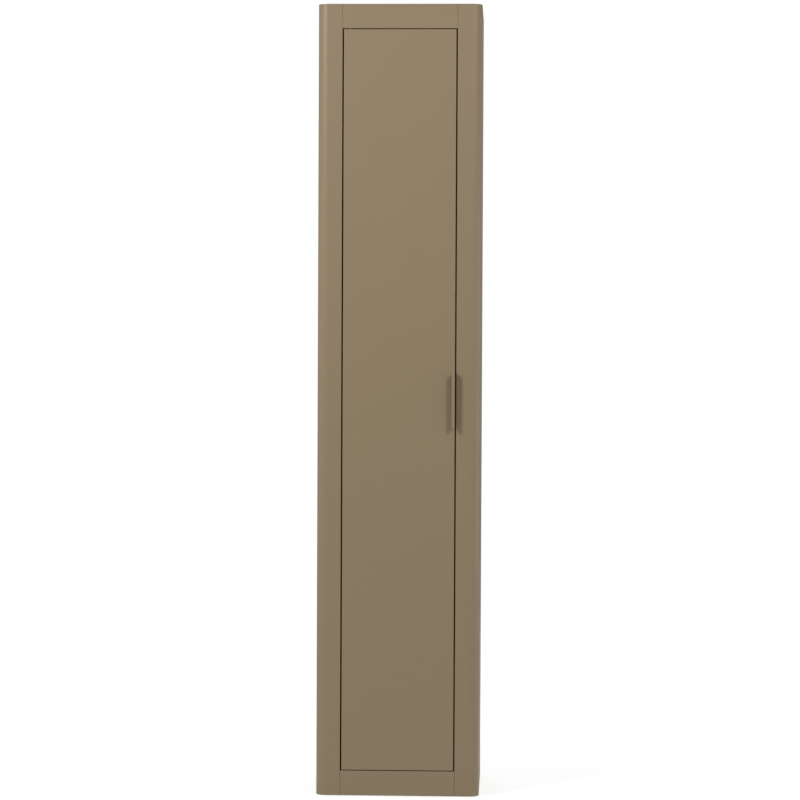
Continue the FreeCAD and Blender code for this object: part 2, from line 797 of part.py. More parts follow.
def build_catches():
    """Two magnetic catches on the stop strip, and a strike plate on the door behind each."""
    magnets = []
    for name, z in (
        ("lower", "Places.sill + Sizes.catch_margin"),
        ("upper", "Places.lintel - Sizes.catch_margin"),
    ):
        housing = name + "_catch"
        strike = name + "_strike"
        screw_y = "Places.catch_front + Sizes.catch_depth - Sizes.screw_head_radius - Sizes.magnet_proud"
        for sign in "-+":
            screw_z = f"{z} {sign} Sizes.catch_screw_pitch / 2"
            head = ("Places.strip_face - Sizes.catch_width", screw_y, screw_z)
            add_screw("catch_screws", head, "+X", "Sizes.catch_screw", housing, "stop_strip")
            head = ("Places.catch_x", "Places.door_back + Sizes.strike_thick", screw_z)
            add_screw("strike_screws", head, "-Y", "Sizes.strike_screw", strike, "door_panel")
        magnet = centred_block(
            name + "_magnet",
            ("Places.catch_x", "Places.catch_face", z),
            ("Sizes.magnet_width", "Sizes.magnet_depth", "Sizes.magnet_height"),
        )
        magnets.append(magnet)
        bore(magnet, housing)
        blank = centred_block(
            housing + "_blank",
            ("Places.catch_x", "Places.catch_front", z),
            ("Sizes.catch_width", "Sizes.catch_depth", "Sizes.catch_height"),
        )
        add_board(housing, blank)
        blank = centred_block(
            strike + "_blank",
            ("Places.catch_x", "Places.door_back", z),
            ("Sizes.catch_width", "Sizes.strike_thick", "Sizes.strike_height"),
        )
        add_board(strike, blank)
    add_node("catch_magnets", gathered("magnets", magnets))
    strip = block(
        "stop_strip_blank",
        ("Places.strip_face", "Places.strip_front", "Places.sill"),
        ("Sizes.strip_width", "Sizes.strip_depth", "Places.lintel - Places.sill"),
    )
    add_board("stop_strip", strip)


def build_glides():
    """Four nail-on glides: two under the posts and two under the side panels."""
    glides = []
    spots = (
        ("_post", "Sizes.member_width / 2", "Places.front + Sizes.member_depth / 2"),
        ("_side_panel", "Sizes.panel_thick / 2", "Places.rear - Sizes.glide_inset"),
    )
    for side, sign in SIDES:
        for board, inset, y in spots:
            start = (f"{sign}(Places.half_width - {inset})", y, "0")
            reach = "Sizes.glide_thick + Sizes.nail_length"
            disc = rod("glide_disc", start, "+Z", "Sizes.glide_radius", "Sizes.glide_thick")
            nail = rod("glide_nail", start, "+Z", "Sizes.nail_radius", reach)
            glides.append(joined("glide", [disc, nail]))
            hole_radius = "Sizes.nail_radius + Sizes.nail_play"
            bore(rod("glide_hole", start, "+Z", hole_radius, f"{reach} + Sizes.nail_play"), side + board)
    add_node("floor_glides", gathered("glides", glides))


# ---------------------------------------------------------------- the whole cupboard


def build_all():
    """Notes every bore first, and then cuts the boards."""
    build_pivots()
    build_pull()
    build_stop()
    build_catches()
    build_door()
    dowel_frame()
    dowel_sides()
    build_supports()
    build_glides()
    bore_wall_holes()
    build_pegs()
    build_back()
    build_decks()
    build_rails()
    build_frame()
    build_sides()
    for group, row in {**screws, **dowels}.items():
        add_node(group, gathered(group + "_group", row))
    add_node("cam_discs", gathered("cam_disc_group", cam_discs))
    add_node("cam_bolts", gathered("cam_bolt_group", cam_bolts))
    doc.recompute()


def check_all():
    """Stops at an object that failed, or at a sub-part with no sound shape."""
    for item in doc.Objects:
        if "Invalid" in item.State or "Error" in item.State:
            raise RuntimeError(f"{item.Label} failed: {item.State}")
    for name, item in nodes.items():
        if item.Shape.isNull() or not item.Shape.isValid() or not item.Shape.Solids:
            raise RuntimeError(f"{name} has no sound shape")


def write_all():
    """Writes each sub-part to its own STEP file."""
    os.makedirs("parts", exist_ok=True)
    for name, item in nodes.items():
        item.Shape.exportStep(f"parts/{name}.step")
        box = item.Shape.BoundBox
        extent = f"{box.XLength:.1f} x {box.YLength:.1f} x {box.ZLength:.1f} mm"
        print(f"{name}: {len(item.Shape.Solids)} solids, {extent}")


build_all()
check_all()
write_all()
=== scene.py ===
"""Finishes, fittings, light and camera of the broom cupboard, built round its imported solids."""

import json
import logging
import math
from dataclasses import dataclass
from enum import Enum
from itertools import pairwise
from typing import Callable, Iterable, Sequence

import bmesh
import bpy
from bmesh.types import BMEdge, BMesh, BMFace, BMVert
from bpy.types import Material, Node, NodeSocket, NodeTree, Object
from mathutils import Matrix, Vector


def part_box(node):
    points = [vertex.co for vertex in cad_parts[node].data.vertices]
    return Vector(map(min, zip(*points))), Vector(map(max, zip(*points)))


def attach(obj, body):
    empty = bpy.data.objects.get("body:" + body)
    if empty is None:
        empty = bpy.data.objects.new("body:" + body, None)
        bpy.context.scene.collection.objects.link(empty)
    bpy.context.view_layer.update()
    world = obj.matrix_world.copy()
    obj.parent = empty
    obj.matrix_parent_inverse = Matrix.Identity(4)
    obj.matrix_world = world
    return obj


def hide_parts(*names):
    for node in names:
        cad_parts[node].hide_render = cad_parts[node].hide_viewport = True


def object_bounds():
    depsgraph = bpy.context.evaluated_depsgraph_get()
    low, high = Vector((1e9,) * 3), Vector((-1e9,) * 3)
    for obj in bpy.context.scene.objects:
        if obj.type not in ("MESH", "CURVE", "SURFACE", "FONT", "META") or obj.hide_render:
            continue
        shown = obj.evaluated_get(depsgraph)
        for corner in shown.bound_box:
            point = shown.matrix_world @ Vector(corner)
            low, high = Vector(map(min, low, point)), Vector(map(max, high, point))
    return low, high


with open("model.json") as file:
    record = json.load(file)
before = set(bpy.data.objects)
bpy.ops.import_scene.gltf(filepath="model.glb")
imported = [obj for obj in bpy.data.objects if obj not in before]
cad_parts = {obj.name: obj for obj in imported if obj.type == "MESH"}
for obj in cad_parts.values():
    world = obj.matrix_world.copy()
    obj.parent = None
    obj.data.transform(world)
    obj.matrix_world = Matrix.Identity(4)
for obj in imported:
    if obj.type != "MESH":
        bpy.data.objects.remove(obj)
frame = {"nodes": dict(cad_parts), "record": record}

log = logging.getLogger("broom_cupboard")

MM = 0.001
CAD_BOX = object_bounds()
WELD = 1e-6  # corners of a solid that lie closer than this are one corner
LEVEL = 10 * WELD  # corners that lie closer than this to a plane are in it
FLUSH = 0.1 * MM  # faces that lie closer than this to the cupboard's top are part of it
SMOOTH_BELOW = math.radians(35)  # edges flatter than this are shaded round
EASE_STEPS = 2  # faces across an eased edge
CROSS_CORNERS = 24  # corners of the round face that a cross recess is sunk into
CROSS_RIM = 0.1  # the width of the ring round it, in parts of the cross's arm
CROSS_TAPER = 0.45  # how wide the recess's floor is, in parts of its mouth

Colour = tuple[float, float, float]
Sockets = bpy.types.bpy_prop_collection
Spot = tuple[float, float]  # a point of a turned profile: radius and height


# -------- shader graphs


class Graph:
    """A node tree with short calls to add nodes and join them."""

    def __init__(self, tree: NodeTree) -> None:
        """Wraps the node tree of a material, a group or the world."""
        self.tree = tree

    def add(self, kind: str, **settings: object) -> Node:
        """Adds a node.

        Args:
            kind: The node's type.
            settings: Its properties, and values for its sockets under their names in lower case.

        Returns:
            The new node.
        """
        node = self.tree.nodes.new(kind)
        sockets = {socket.name.lower().replace(" ", "_"): socket for socket in reversed(node.inputs)}
        for name, value in settings.items():
            if name in sockets:
                self.feed(value, sockets[name])
            else:
                setattr(node, name, value)
        return node

    def feed(self, value: object, socket: NodeSocket) -> None:
        """Links a socket's output to an input, or sets the input to a plain value.

        Args:
            value: An output socket, a number, or a tuple.
            socket: The input.
        """
        if isinstance(value, NodeSocket):
            self.tree.links.new(value, socket)
        else:
            socket.default_value = value

    def place(self, group: NodeTree, **values: object) -> Node:
        """Places a node group.

        Args:
            group: The group's tree.
            values: What goes into its sockets, each under its name in lower case.

        Returns:
            The group's node.
        """
        node = self.add("ShaderNodeGroup", node_tree=group)
        for name, value in values.items():
            self.feed(value, node.inputs[name.replace("_", " ").title()])
        return node

    def maths(self, operation: str, *values: object) -> NodeSocket:
        """Adds a Math node.

        Args:
            operation: What it works out.
            values: Its inputs in order.

        Returns:
            Its result.
        """
        node = self.add("ShaderNodeMath", operation=operation)
        for value, socket in zip(values, node.inputs):
            self.feed(value, socket)
        return node.outputs[0]

    def spread(self, value: object, low: float, high: float) -> NodeSocket:
        """Stretches a value from 0..1 to low..high."""
        return self.maths("MULTIPLY_ADD", value, high - low, low)

    def eased(self, value: object, start: float, end: float, low: float = 0.0) -> NodeSocket:
        """Turns a value into a mask with a soft edge.

        Args:
            value: A socket.
            start: Where the mask begins to rise.
            end: Where it reaches 1.
            low: What it is below the start.

        Returns:
            The mask.
        """
        return self.add(
            "ShaderNodeMapRange",
            interpolation_type="SMOOTHSTEP",
            value=value,
            from_min=start,
            from_max=end,
            to_min=low,
        ).outputs["Result"]

    def noise(self, place: object, scale: object, detail: float, **more: object) -> NodeSocket:
        """The value of cloudy noise, from 0 to 1, where the scale is how many clouds go to a metre."""
        node = self.add("ShaderNodeTexNoise", vector=place, scale=scale, detail=detail, **more)
        return node.outputs["Fac"]

    def scaled(self, colour: object, factor: object) -> NodeSocket:
        """Multiplies a colour by a factor."""
        node = self.add("ShaderNodeVectorMath", operation="SCALE", vector=colour, scale=factor)
        return node.outputs[0]

    def overlaid(
        self, cover: object, under: object, colour: Colour, mode: str = "MIX"
    ) -> NodeSocket:
        """Lays a plain colour over another colour.

        Args:
            cover: How much of it shows, from 0 to 1.
            under: The colour below.
            colour: The colour that goes over it.
            mode: How the two are mixed.

        Returns:
            The mixed colour.
        """
        node = self.add("ShaderNodeMix", data_type="RGBA", blend_type=mode)
        for value, socket in ((cover, 0), (under, 6), ((*colour, 1.0), 7)):
            self.feed(value, node.inputs[socket])
        return node.outputs[2]


@dataclass(frozen=True)
class Socket:
    """One socket of a shader node group."""

    name: str
    kind: str
    default: float | tuple[float, ...] | None = None

    def make(self, tree: NodeTree, way: str) -> None:
        """Makes the socket on a group.

        Args:
            tree: The group.
            way: INPUT or OUTPUT.
        """
        made = tree.interface.new_socket(self.name, in_out=way, socket_type=self.kind)
        if self.default is not None:
            made.default_value = self.default


PLACE = Socket("Vector", "NodeSocketVector")
MASK = Socket("Mask", "NodeSocketFloat")


class Effect:
    """A shader node group, built once and placed in each material that uses it."""

    made: dict[str, NodeTree] = {}
    worn_turn = (0.01, 0.20)  # how far the blunted normal turns where the edge mark begins and where it is full: smoother paint and a painted highlight
    worn_clouds = 60.0  # patches of the edge mark to a metre
    worn_breaks = (0.3, 1.5)  # how weak and how strong they are
    crevice_depth = (0.55, 0.85)  # how much air is hidden where the painted shade in gaps begins and where it is full
    dust_slope = (0.6, 0.95)  # how far up a face looks where dust begins and where it is full
    dust_clouds = 25.0
    dust_film = (0.6, 1.2)

    @classmethod
    def group(
        cls, name: str, inputs: Sequence[Socket], outputs: Sequence[Socket], fill: Callable[..., None]
    ) -> NodeTree:
        """Finds or builds a group.

        Args:
            name: The group's name.
            inputs: Its input sockets.
            outputs: Its output sockets.
            fill: Draws the nodes, given the graph, what goes in and what comes out.

        Returns:
            The group's tree.
        """
        if name not in cls.made:
            tree = bpy.data.node_groups.new(name, "ShaderNodeTree")
            for socket in inputs:
                socket.make(tree, "INPUT")
            for socket in outputs:
                socket.make(tree, "OUTPUT")
            graph = Graph(tree)
            fill(graph, graph.add("NodeGroupInput").outputs, graph.add("NodeGroupOutput").inputs)
            cls.made[name] = tree
        return cls.made[name]

    @classmethod
    def tone_drift(cls) -> NodeTree:
        """Clouds that make a colour a little lighter and darker.

        Returns:
            The group's tree.
        """

        def fill(graph: Graph, given: Sockets, result: Sockets) -> None:
            """Draws the group's nodes.

            Args:
                graph: The group's graph.
                given: What goes in.
                result: What comes out.
            """
            scale = graph.maths("DIVIDE", 1.0, given["Cloud Size"])
            clouds = graph.noise(given["Vector"], scale, detail=3.0)
            centred = graph.maths("SUBTRACT", clouds, 0.5)
            swing = graph.maths("MULTIPLY", centred, given["Swing"])
            factor = graph.maths("MULTIPLY_ADD", swing, 2.0, 1.0)
            graph.feed(graph.scaled(given["Color"], factor), result["Color"])

        return cls.group(
            "tone_drift",
            [
                PLACE,
                Socket("Color", "NodeSocketColor", (0.5, 0.5, 0.5, 1.0)),
                Socket("Cloud Size", "NodeSocketFloat", 0.3),
                Socket("Swing", "NodeSocketFloat", 0.02),
            ],
            [Socket("Color", "NodeSocketColor")],
            fill,
        )

    @classmethod
    def fine_relief(cls) -> NodeTree:
        """The fine skin of a sprayed, moulded or blasted surface.

        Returns:
            The group's tree.
        """

        def fill(graph: Graph, given: Sockets, result: Sockets) -> None:
            """Draws the group's nodes.

            Args:
                graph: The group's graph.
                given: What goes in.
                result: What comes out.
            """
            scale = graph.maths("DIVIDE", 1.0, given["Grain Size"])
            skin = graph.noise(given["Vector"], scale, detail=2.0)
            cells = graph.add("ShaderNodeTexVoronoi", vector=given["Vector"], scale=scale)
            pits = graph.maths("MULTIPLY", cells.outputs["Distance"], given["Pits"])
            graph.feed(graph.maths("ADD", skin, pits), result["Height"])
            graph.feed(skin, result["Mask"])

        return cls.group(
            "fine_relief",
            [
                PLACE,
                Socket("Grain Size", "NodeSocketFloat", 0.002),
                Socket("Pits", "NodeSocketFloat", 0.3),
            ],
            [Socket("Height", "NodeSocketFloat"), MASK],
            fill,
        )

    @classmethod
    def streaks(cls) -> NodeTree:
        """Long fine lines along one axis, as brushing or grain leaves.

        Returns:
            The group's tree.
        """

        def fill(graph: Graph, given: Sockets, result: Sockets) -> None:
            """Draws the group's nodes.

            Args:
                graph: The group's graph.
                given: What goes in.
                result: What comes out.
            """
            drawn = graph.add("ShaderNodeVectorMath", operation="MULTIPLY")
            graph.feed(given["Vector"], drawn.inputs[0])
            graph.feed(given["Stretch"], drawn.inputs[1])
            scale = graph.maths("DIVIDE", 1.0, given["Line Width"])
            lines = graph.noise(drawn.outputs[0], scale, detail=4.0, distortion=given["Waver"])
            graph.feed(lines, result["Mask"])

        return cls.group(
            "streaks",
            [
                PLACE,
                Socket("Stretch", "NodeSocketVector", (1.0, 1.0, 0.03)),
                Socket("Line Width", "NodeSocketFloat", 0.0005),
                Socket("Waver", "NodeSocketFloat", 0.0),
            ],
            [MASK],
            fill,
        )

    @classmethod
    def edge_wear(cls) -> NodeTree:
        """A broken line along edges that stand out or turn in, where paint is thin and hands rub it,
        and where the paint is lightened as a painted highlight of edges that catch the light.

        Returns:
            The group's tree.
        """

        def fill(graph: Graph, given: Sockets, result: Sockets) -> None:
            """Draws the group's nodes.

            Args:
                graph: The group's graph.
                given: What goes in.
                result: What comes out.
            """
            blunt = graph.add("ShaderNodeBevel", samples=4, radius=given["Width"])
            same = graph.add("ShaderNodeVectorMath", operation="DOT_PRODUCT")
            graph.feed(blunt.outputs["Normal"], same.inputs[0])
            graph.feed(graph.add("ShaderNodeNewGeometry").outputs["Normal"], same.inputs[1])
            turned = graph.eased(graph.maths("SUBTRACT", 1.0, same.outputs["Value"]), *cls.worn_turn)
            patches = graph.noise(given["Vector"], cls.worn_clouds, detail=3.0)
            broken = graph.spread(patches, *cls.worn_breaks)
            graph.feed(graph.maths("MULTIPLY", turned, broken), result["Mask"])

        return cls.group("edge_wear", [PLACE, Socket("Width", "NodeSocketFloat", 0.0015)], [MASK], fill)

    @classmethod
    def crevice(cls) -> NodeTree:
        """The walls of narrow gaps, where the paint is darkened as painted shade.

        Returns:
            The group's tree.
        """

        def fill(graph: Graph, given: Sockets, result: Sockets) -> None:
            """Draws the group's nodes.

            Args:
                graph: The group's graph.
                given: What goes in.
                result: What comes out.
            """
            open_air = graph.add("ShaderNodeAmbientOcclusion", samples=4, distance=given["Reach"])
            hidden = graph.maths("SUBTRACT", 1.0, open_air.outputs["AO"])
            graph.feed(graph.eased(hidden, *cls.crevice_depth), result["Mask"])

        return cls.group("crevice", [Socket("Reach", "NodeSocketFloat", 0.006)], [MASK], fill)

    @classmethod
    def settled_dust(cls) -> NodeTree:
        """A thin uneven film of dust on faces that look up.

        Returns:
            The group's tree.
        """

        def fill(graph: Graph, given: Sockets, result: Sockets) -> None:
            """Draws the group's nodes.

            Args:
                graph: The group's graph.
                given: What goes in.
                result: What comes out.
            """
            upward = graph.add("ShaderNodeSeparateXYZ")
            graph.feed(graph.add("ShaderNodeNewGeometry").outputs["Normal"], upward.inputs[0])
            level = graph.eased(upward.outputs["Z"], *cls.dust_slope)
            clouds = graph.noise(given["Vector"], cls.dust_clouds, detail=4.0)
            film = graph.spread(clouds, *cls.dust_film)
            graph.feed(graph.maths("MULTIPLY", level, film), result["Mask"])

        return cls.group("settled_dust", [PLACE], [MASK], fill)


# -------- finishes


@dataclass(frozen=True)
class Canvas:
    """A material while it is drawn: its graph, its Principled shader and the point on the surface."""

    graph: Graph
    shader: Node
    place: NodeSocket

    def drawn(self, name: str) -> NodeSocket:
        """What feeds an input of the shader so far."""
        return self.shader.inputs[name].links[0].from_socket

    def draw(self, name: str, value: object) -> None:
        """Feeds or sets an input of the shader."""
        self.graph.feed(value, self.shader.inputs[name])


@dataclass(frozen=True)
class Finish:
    """What every finish shares: a name, a colour and the spread of its gloss."""

    name: str
    colour: Colour
    gloss: tuple[float, float] = (0.4, 0.5)
    drift: float = 0.02
    speckle: float = 0.7  # the fine speckle's share of the drift
    cloud: float = 0.25
    grain: float = 2.0 * MM
    relief: float = 0.04 * MM
    pits: float = 0.3

    def material(self) -> Material:
        """Makes the material.

        Returns:
            The finished material.
        """
        made = bpy.data.materials.new(self.name)
        made.use_nodes = True
        made.diffuse_color = (*self.colour, 1.0)
        graph = Graph(made.node_tree)
        place = graph.add("ShaderNodeTexCoord").outputs["Object"]
        self.paint(Canvas(graph, made.node_tree.nodes["Principled BSDF"], place))
        return made

    def toned(self, canvas: Canvas) -> NodeSocket:
        """The colour with its slow clouds and its fine speckle.

        Args:
            canvas: The material.

        Returns:
            The varied colour.
        """
        colour: object = (*self.colour, 1.0)
        for size, swing in ((self.cloud, self.drift), (self.grain, self.drift * self.speckle)):
            tone = canvas.graph.place(
                Effect.tone_drift(), vector=canvas.place, color=colour, cloud_size=size, swing=swing
            )
            colour = tone.outputs["Color"]
        return colour

    def paint(self, canvas: Canvas) -> None:
        """Draws the finish.

        Args:
            canvas: The material.
        """
        skin = canvas.graph.place(
            Effect.fine_relief(), vector=canvas.place, grain_size=self.grain, pits=self.pits
        )
        canvas.draw("Base Color", self.toned(canvas))
        canvas.draw("Roughness", canvas.graph.spread(skin.outputs["Mask"], *self.gloss))
        self.emboss(canvas, skin.outputs["Height"])

    def emboss(self, canvas: Canvas, height: NodeSocket) -> None:
        """Raises the surface by a height that runs from 0 to about 1."""
        bump = canvas.graph.add("ShaderNodeBump", height=height, distance=self.relief)
        canvas.draw("Normal", bump.outputs["Normal"])


@dataclass(frozen=True)
class Paint(Finish):
    """Sprayed matt paint: a slight skin, patches of gloss, edges smoothed by hands and lightened as a
    painted highlight, painted shade in gaps, and dust.
    """

    patch: float = 0.09
    patch_gloss: float = 0.04  # how much smoother or rougher the patches are
    wear: float = 1.5 * MM  # how wide the edge band is, which hands smooth and which is lightened as a painted highlight
    # the share by which the edges are lightened, as a painted highlight
    wear_pale: float = 0.14
    wear_gloss: float = 0.05
    grime: Colour = (0.55, 0.38, 0.22)  # painted shade: what the colour is multiplied by deep in a gap, dark and warm
    sheen: float = 0.3  # the specular level of matt paint
    dust: Colour = (0.30, 0.27, 0.22)
    dust_cover: float = 0.3  # how much of the paint a full film hides
    dust_dull: float = 0.45  # how much rougher it makes the surface

    def paint(self, canvas: Canvas) -> None:
        """Draws the finish.

        Args:
            canvas: The material.
        """
        super().paint(canvas)
        graph = canvas.graph
        rub_and_highlight = graph.place(Effect.edge_wear(), vector=canvas.place, width=self.wear).outputs["Mask"]
        deep = graph.place(Effect.crevice()).outputs["Mask"]
        settled = graph.place(Effect.settled_dust(), vector=canvas.place).outputs["Mask"]
        # the edges are lightened here, as a painted highlight where they catch the light
        edge_brightening = graph.maths("MULTIPLY_ADD", rub_and_highlight, self.wear_pale, 1.0)
        edge_lit_colour = graph.scaled(canvas.drawn("Base Color"), edge_brightening)
        # the walls of gaps are darkened and warmed here, as painted shade
        gap_shaded = graph.overlaid(deep, edge_lit_colour, self.grime, "MULTIPLY")
        cover = graph.maths("MULTIPLY", settled, self.dust_cover)
        canvas.draw("Base Color", graph.overlaid(cover, gap_shaded, self.dust))
        canvas.draw("Specular IOR Level", self.sheen)
        patches = graph.noise(canvas.place, 1.0 / self.patch, detail=3.0)
        slow = graph.spread(patches, -self.patch_gloss, self.patch_gloss)
        fine = graph.maths("ADD", canvas.drawn("Roughness"), slow)
        smoother = graph.maths("MULTIPLY_ADD", rub_and_highlight, -self.wear_gloss, fine)
        canvas.draw("Roughness", graph.maths("MULTIPLY_ADD", settled, self.dust_dull, smoother))


@dataclass(frozen=True)
class FramePaint(Paint):
    """Paint over a jointed frame: it has cracked along the joints, as a dark hairline."""

    joint: float = 155.0 * MM  # how far the joints lie from the middle
    crack: float = 0.36 * MM  # half the width of the hairline
    soft: float = 0.2  # how much of that its soft edge takes, to either side
    depth: float = 0.12

    def paint(self, canvas: Canvas) -> None:
        """Draws the finish.

        Args:
            canvas: The material.
        """
        super().paint(canvas)
        graph = canvas.graph
        across = graph.add("ShaderNodeSeparateXYZ", vector=canvas.place).outputs["X"]
        offset = graph.maths("SUBTRACT", graph.maths("ABSOLUTE", across), self.joint)
        away = graph.maths("ABSOLUTE", offset)
        line = graph.eased(
            away, (1.0 - self.soft) * self.crack, (1.0 + self.soft) * self.crack, self.depth
        )
        canvas.draw("Base Color", graph.scaled(canvas.drawn("Base Color"), line))


@dataclass(frozen=True)
class Metal(Finish):
    """Bare or plated metal, brushed along one axis."""

    stretch: tuple[float, float, float] = (1.0, 1.0, 0.03)
    line: float = 0.3 * MM

    def paint(self, canvas: Canvas) -> None:
        """Draws the finish.

        Args:
            canvas: The material.
        """
        graph = canvas.graph
        node = graph.place(
            Effect.streaks(), vector=canvas.place, stretch=self.stretch, line_width=self.line
        )
        lines = node.outputs["Mask"]
        canvas.draw("Base Color", self.toned(canvas))
        canvas.draw("Roughness", graph.spread(lines, *self.gloss))
        canvas.draw("Metallic", 1.0)
        self.emboss(canvas, lines)


@dataclass(frozen=True)
class Beech(Finish):
    """Bare beech: straight grain with short darker flecks."""

    fleck: float = 1.2 * MM
    fleck_stretch: tuple[float, float, float] = (0.12, 0.12, 1.0)
    fleck_waver: float = 0.4
    fleck_cover: tuple[float, float] = (-0.3, 0.9)
    fleck_tone: float = 0.6  # their tone, in parts of the wood's own

    def paint(self, canvas: Canvas) -> None:
        """Draws the finish.

        Args:
            canvas: The material.
        """
        super().paint(canvas)
        graph = canvas.graph
        flecks = graph.place(
            Effect.streaks(),
            vector=canvas.place,
            stretch=self.fleck_stretch,
            line_width=self.fleck,
            waver=self.fleck_waver,
        )
        dark = tuple(self.fleck_tone * part for part in self.colour)
        cover = graph.spread(flecks.outputs["Mask"], *self.fleck_cover)
        canvas.draw("Base Color", graph.overlaid(cover, canvas.drawn("Base Color"), dark))


KHAKI: Colour = (0.232, 0.178, 0.109)
MATT = (0.34, 0.42)  # the roughness of sprayed matt paint
WOOD_GRAIN = 1.6 * MM


class Look(Enum):
    """The finishes of the cupboard, each under the name of its material slot."""

    painted_board = Paint("painted_board", KHAKI, MATT, drift=0.010, grain=WOOD_GRAIN)
    painted_frame = FramePaint("painted_frame", KHAKI, MATT, drift=0.010, grain=WOOD_GRAIN)
    painted_metal = Paint("painted_metal", KHAKI, (0.33, 0.41), drift=0.012, grain=0.7 * MM)
    peg_steel = Metal(
        "peg_steel", (0.60, 0.60, 0.58), (0.22, 0.34), relief=0.004 * MM, stretch=(1.0, 0.02, 1.0)
    )
    hinge_steel = Metal(
        "hinge_steel", (0.56, 0.56, 0.55), (0.26, 0.42), relief=0.006 * MM, stretch=(0.02, 1.0, 1.0)
    )
    zinc = Metal(
        "zinc", (0.62, 0.63, 0.64), (0.22, 0.38), drift=0.05, cloud=3.0 * MM, relief=0.003 * MM,
        stretch=(1.0, 1.0, 1.0), line=0.6 * MM,
    )
    beech = Beech("beech", (0.58, 0.40, 0.23), (0.55, 0.70), drift=0.04, cloud=0.03)
    plastic = Finish("plastic", (0.16, 0.13, 0.10), (0.42, 0.56), grain=0.5 * MM, relief=0.02 * MM)
    magnet = Finish(
        "magnet", (0.08, 0.08, 0.085), (0.45, 0.65), grain=0.3 * MM, relief=0.02 * MM, pits=0.8
    )
    # clear silicone, in the tone of the paint that shows through it
    pad = Finish("pad", (0.15, 0.125, 0.09), (0.20, 0.32), grain=1.0 * MM, relief=0.01 * MM)
    glide = Finish("glide", (0.70, 0.70, 0.66), (0.30, 0.42), grain=0.6 * MM, relief=0.015 * MM)


class Palette:
    """The materials, each made once."""

    def __init__(self) -> None:
        """Makes a material for every look."""
        self.made = {look: look.value.material() for look in Look}

    def dress(self, piece: Object, *looks: Look) -> None:
        """Gives a piece its materials.

        Args:
            piece: The piece.
            looks: One look for each of its material slots.
        """
        slots = piece.data.materials
        faces = [polygon.material_index for polygon in piece.data.polygons]
        slots.clear()
        for look in looks:
            slots.append(self.made[look])
        if len(looks) > 1:
            piece.data.polygons.foreach_set("material_index", faces)

    def dress_node(self, name: str) -> None:
        """Gives a CAD node the look of its material slot."""
        self.dress(frame["nodes"][name], slot_of(name))
        log.info("%s: %s on %s", name, slot_of(name).name, body_of(name))


def slot_of(name: str) -> Look:
    """The look that the record gives a node."""
    rows = {row["node"]: row["material_slot"] for row in frame["record"]["subparts"]}
    return Look[rows[name]]


def body_of(name: str) -> str:
    """The body that a node belongs to."""
    groups = frame["record"]["behaviour"]["bodies"]
    return next(body for body, members in groups.items() if name in members)


# -------- mesh helpers


def lathe(profile: Sequence[Spot], steps: int) -> BMesh:
    """Spins a profile round Z.

    Args:
        profile: Its points.
        steps: How many faces go round.

    Returns:
        The turned mesh, open only where the profile ends away from the axis.
    """
    mesh = bmesh.new()
    corners = [mesh.verts.new((radius, 0.0, height)) for radius, height in profile]
    for first, second in pairwise(corners):
        mesh.edges.new((first, second))
    bmesh.ops.spin(
        mesh,
        geom=mesh.verts[:] + mesh.edges[:],
        cent=(0.0, 0.0, 0.0),
        axis=(0.0, 0.0, 1.0),
        angle=math.tau,
        steps=steps,
        use_merge=True,
    )
    bmesh.ops.remove_doubles(mesh, verts=mesh.verts, dist=WELD)
    return mesh


def close_top(mesh: BMesh) -> BMFace:
    """Fills the one open ring of a turned mesh and turns its faces outwards.

    Args:
        mesh: A mesh that is open at one end.

    Returns:
        The face that closes it.
    """
    rim = [edge for edge in mesh.edges if edge.is_boundary]
    face = bmesh.ops.edgeloop_fill(mesh, edges=rim)["faces"][0]
    bmesh.ops.recalc_face_normals(mesh, faces=mesh.faces)
    return face


def sink_cross(mesh: BMesh, face: BMFace, arm: float, waist: float, depth: float) -> None:
    """Sinks a cross-shaped driver recess into a round face in the plane Z = 0, towards +Z.

    Args:
        mesh: The mesh.
        face: A face of CROSS_CORNERS corners, one of them on +X.
        arm: Half the cross from tip to tip.
        waist: Half the width of an arm.
        depth: How deep it goes.
    """
    bmesh.ops.inset_region(mesh, faces=[face], thickness=CROSS_RIM * arm, use_even_offset=True)
    half = (arm + waist) / 2
    quarter = [(arm, 0.0), (arm, waist), (half, waist), (waist, waist), (waist, half), (waist, arm)]
    for corner in face.verts:
        step = round(math.atan2(corner.co.y, corner.co.x) / math.tau * CROSS_CORNERS) % CROSS_CORNERS
        turn = Matrix.Rotation(math.radians(90 * (step // len(quarter))), 2)
        corner.co.x, corner.co.y = turn @ Vector(quarter[step % len(quarter)])
    grown = bmesh.ops.extrude_face_region(mesh, geom=[face])["geom"]
    floor = [item for item in grown if isinstance(item, BMVert)]
    bmesh.ops.delete(mesh, geom=[face], context="FACES_ONLY")
    bmesh.ops.scale(mesh, vec=(CROSS_TAPER, CROSS_TAPER, 1.0), verts=floor)
    bmesh.ops.translate(mesh, vec=(0.0, 0.0, depth), verts=floor)


def ease_edges(mesh: BMesh, edges: list[BMEdge], width: float) -> None:
    """Rounds edges over.

    Args:
        mesh: The mesh.
        edges: Its edges that are eased.
        width: How far the rounding reaches from an edge.
    """
    bmesh.ops.bevel(
        mesh,
        geom=edges,
        offset=width,
        segments=EASE_STEPS,
        profile=0.5,
        affect="EDGES",
        material=-1,
        clamp_overlap=False,
    )


def add_slab(mesh: BMesh, low: Vector, high: Vector, ease: float, slot: int = 0) -> None:
    """Adds a block with eased edges.

    Args:
        mesh: The mesh to add it to.
        low: Its lowest corner.
        high: Its highest corner.
        ease: The width of its eased edges.
        slot: Its material slot.
    """
    block = bmesh.ops.create_cube(mesh, size=1.0)["verts"]
    bmesh.ops.scale(mesh, vec=high - low, verts=block)
    bmesh.ops.translate(mesh, vec=(low + high) / 2, verts=block)
    for corner in block:
        for face in corner.link_faces:
            face.material_index = slot
    edges = dict.fromkeys(edge for corner in block for edge in corner.link_edges)
    ease_edges(mesh, list(edges), ease)


